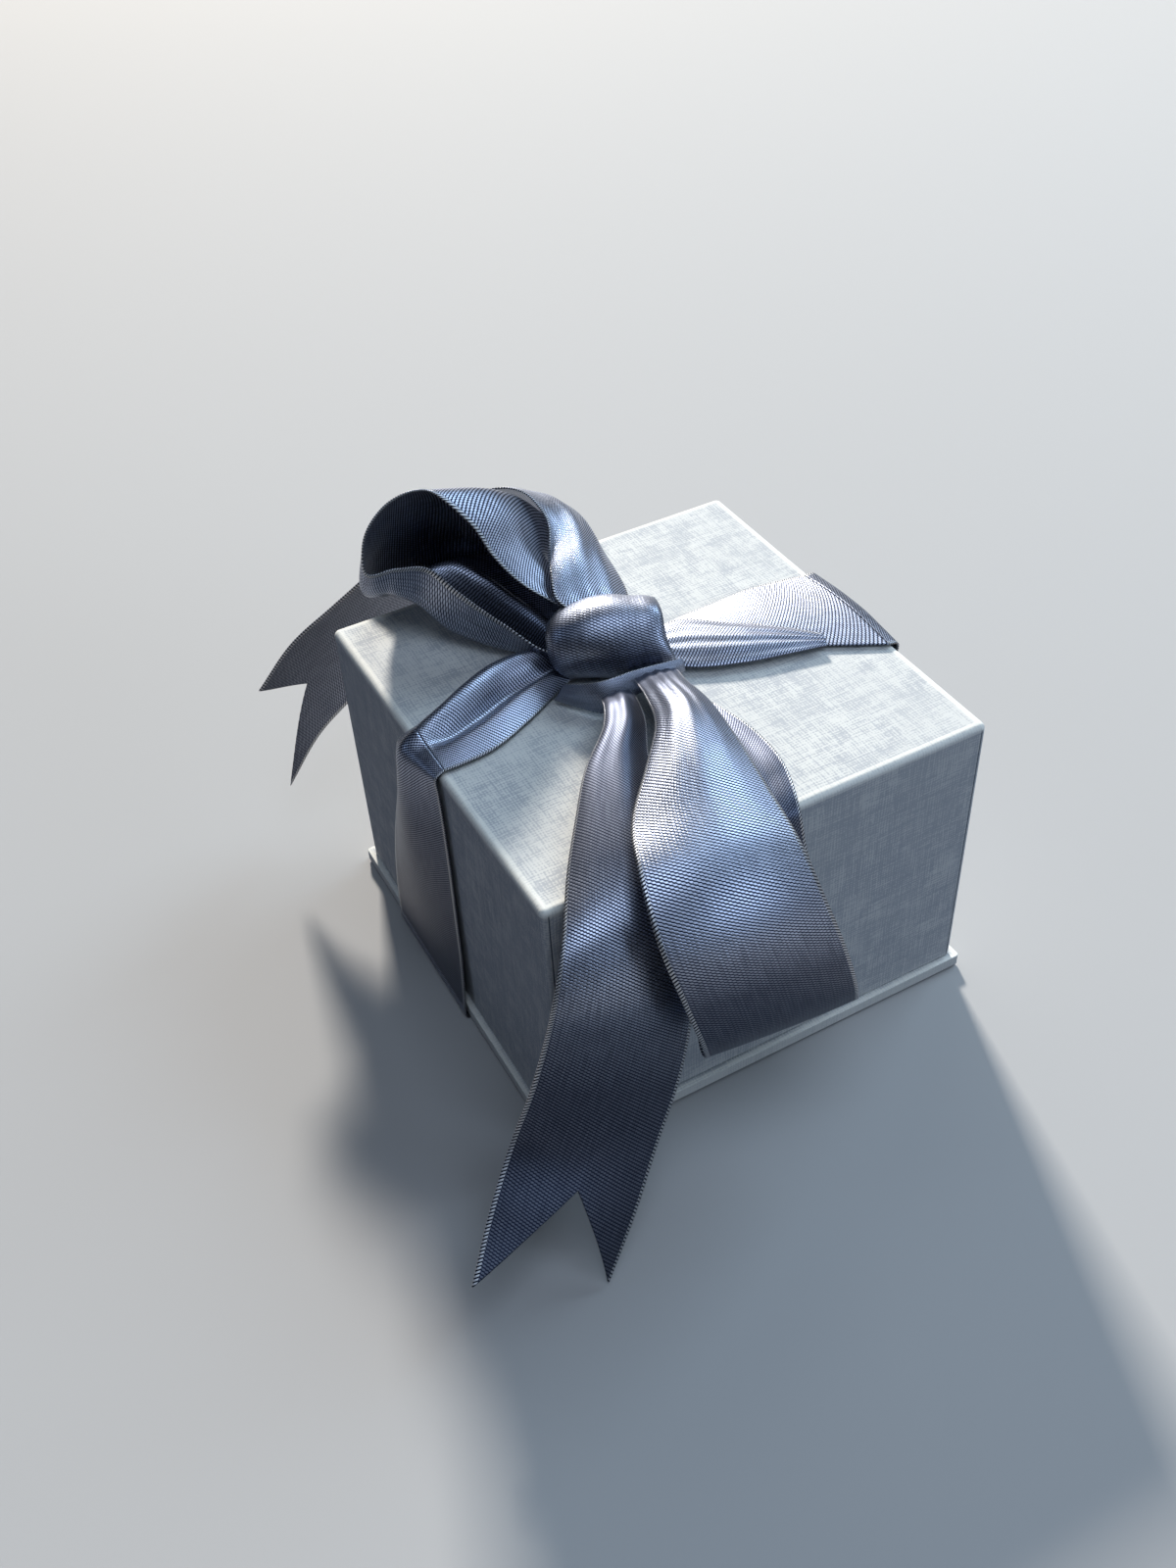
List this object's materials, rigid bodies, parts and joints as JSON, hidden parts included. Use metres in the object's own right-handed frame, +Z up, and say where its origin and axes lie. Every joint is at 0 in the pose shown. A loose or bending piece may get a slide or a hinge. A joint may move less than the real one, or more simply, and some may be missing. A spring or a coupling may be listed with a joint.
{
  "type": "presentation box",
  "caption": "Square rigid presentation box with a deep lift-off lid over a padded tray, on a plate and tied with a satin ribbon in a bow.",
  "frame": {"origin": "middle of the underside of the ribbon's strap, the face the box rests on, under the middle of the box", "axes": "+Z up; the front, over which one loop and one tail hang, faces -Y; the band of ribbon runs round the box along X"},
  "size_m": [0.095, 0.1056, 0.0773],
  "materials": {
    "linen_paper": "matte",
    "greyboard": "matte",
    "stay_paper": "matte",
    "lining_paper": "matte",
    "underside_paper": "matte",
    "pad_satin": "satin",
    "foam": "matte",
    "velvet": "matte",
    "satin_ribbon": "satin"
  },
  "bodies": {
    "base": {"base_board": "greyboard", "base_wrap": "linen_paper", "base_underside_paper": "underside_paper", "tray_board": "greyboard", "tray_corner_stays": "stay_paper", "tray_wrap": "linen_paper", "tray_lining": "lining_paper", "insert_foam": "foam", "insert_cover": "velvet"},
    "lid": {"lid_board": "greyboard", "lid_corner_stays": "stay_paper", "lid_wrap": "linen_paper", "lid_lining": "lining_paper", "lid_pad": "pad_satin"},
    "ribbon": {"ribbon_knot": "satin_ribbon", "ribbon_knot_fold": "satin_ribbon", "ribbon_band_top_left": "satin_ribbon", "ribbon_band_left": "satin_ribbon", "ribbon_band_top_right": "satin_ribbon", "ribbon_band_right": "satin_ribbon", "ribbon_under_strap": "satin_ribbon", "ribbon_loop_left": "satin_ribbon", "ribbon_loop_front": "satin_ribbon", "ribbon_tail_front": "satin_ribbon", "ribbon_tail_back": "satin_ribbon"}
  },
  "joints": [
    {"name": "lid_lift", "type": "slide", "parent": "base", "child": "lid", "axis": [0, 0, 1], "range_m": [0, 0.044], "deforming": ["ribbon_under_strap"]},
    {"name": "ribbon_slip", "type": "slide", "parent": "lid", "child": "ribbon", "axis": [0, -1, 0], "range_m": [0, 0.057], "deforming": ["ribbon_tail_back"]}
  ]
}
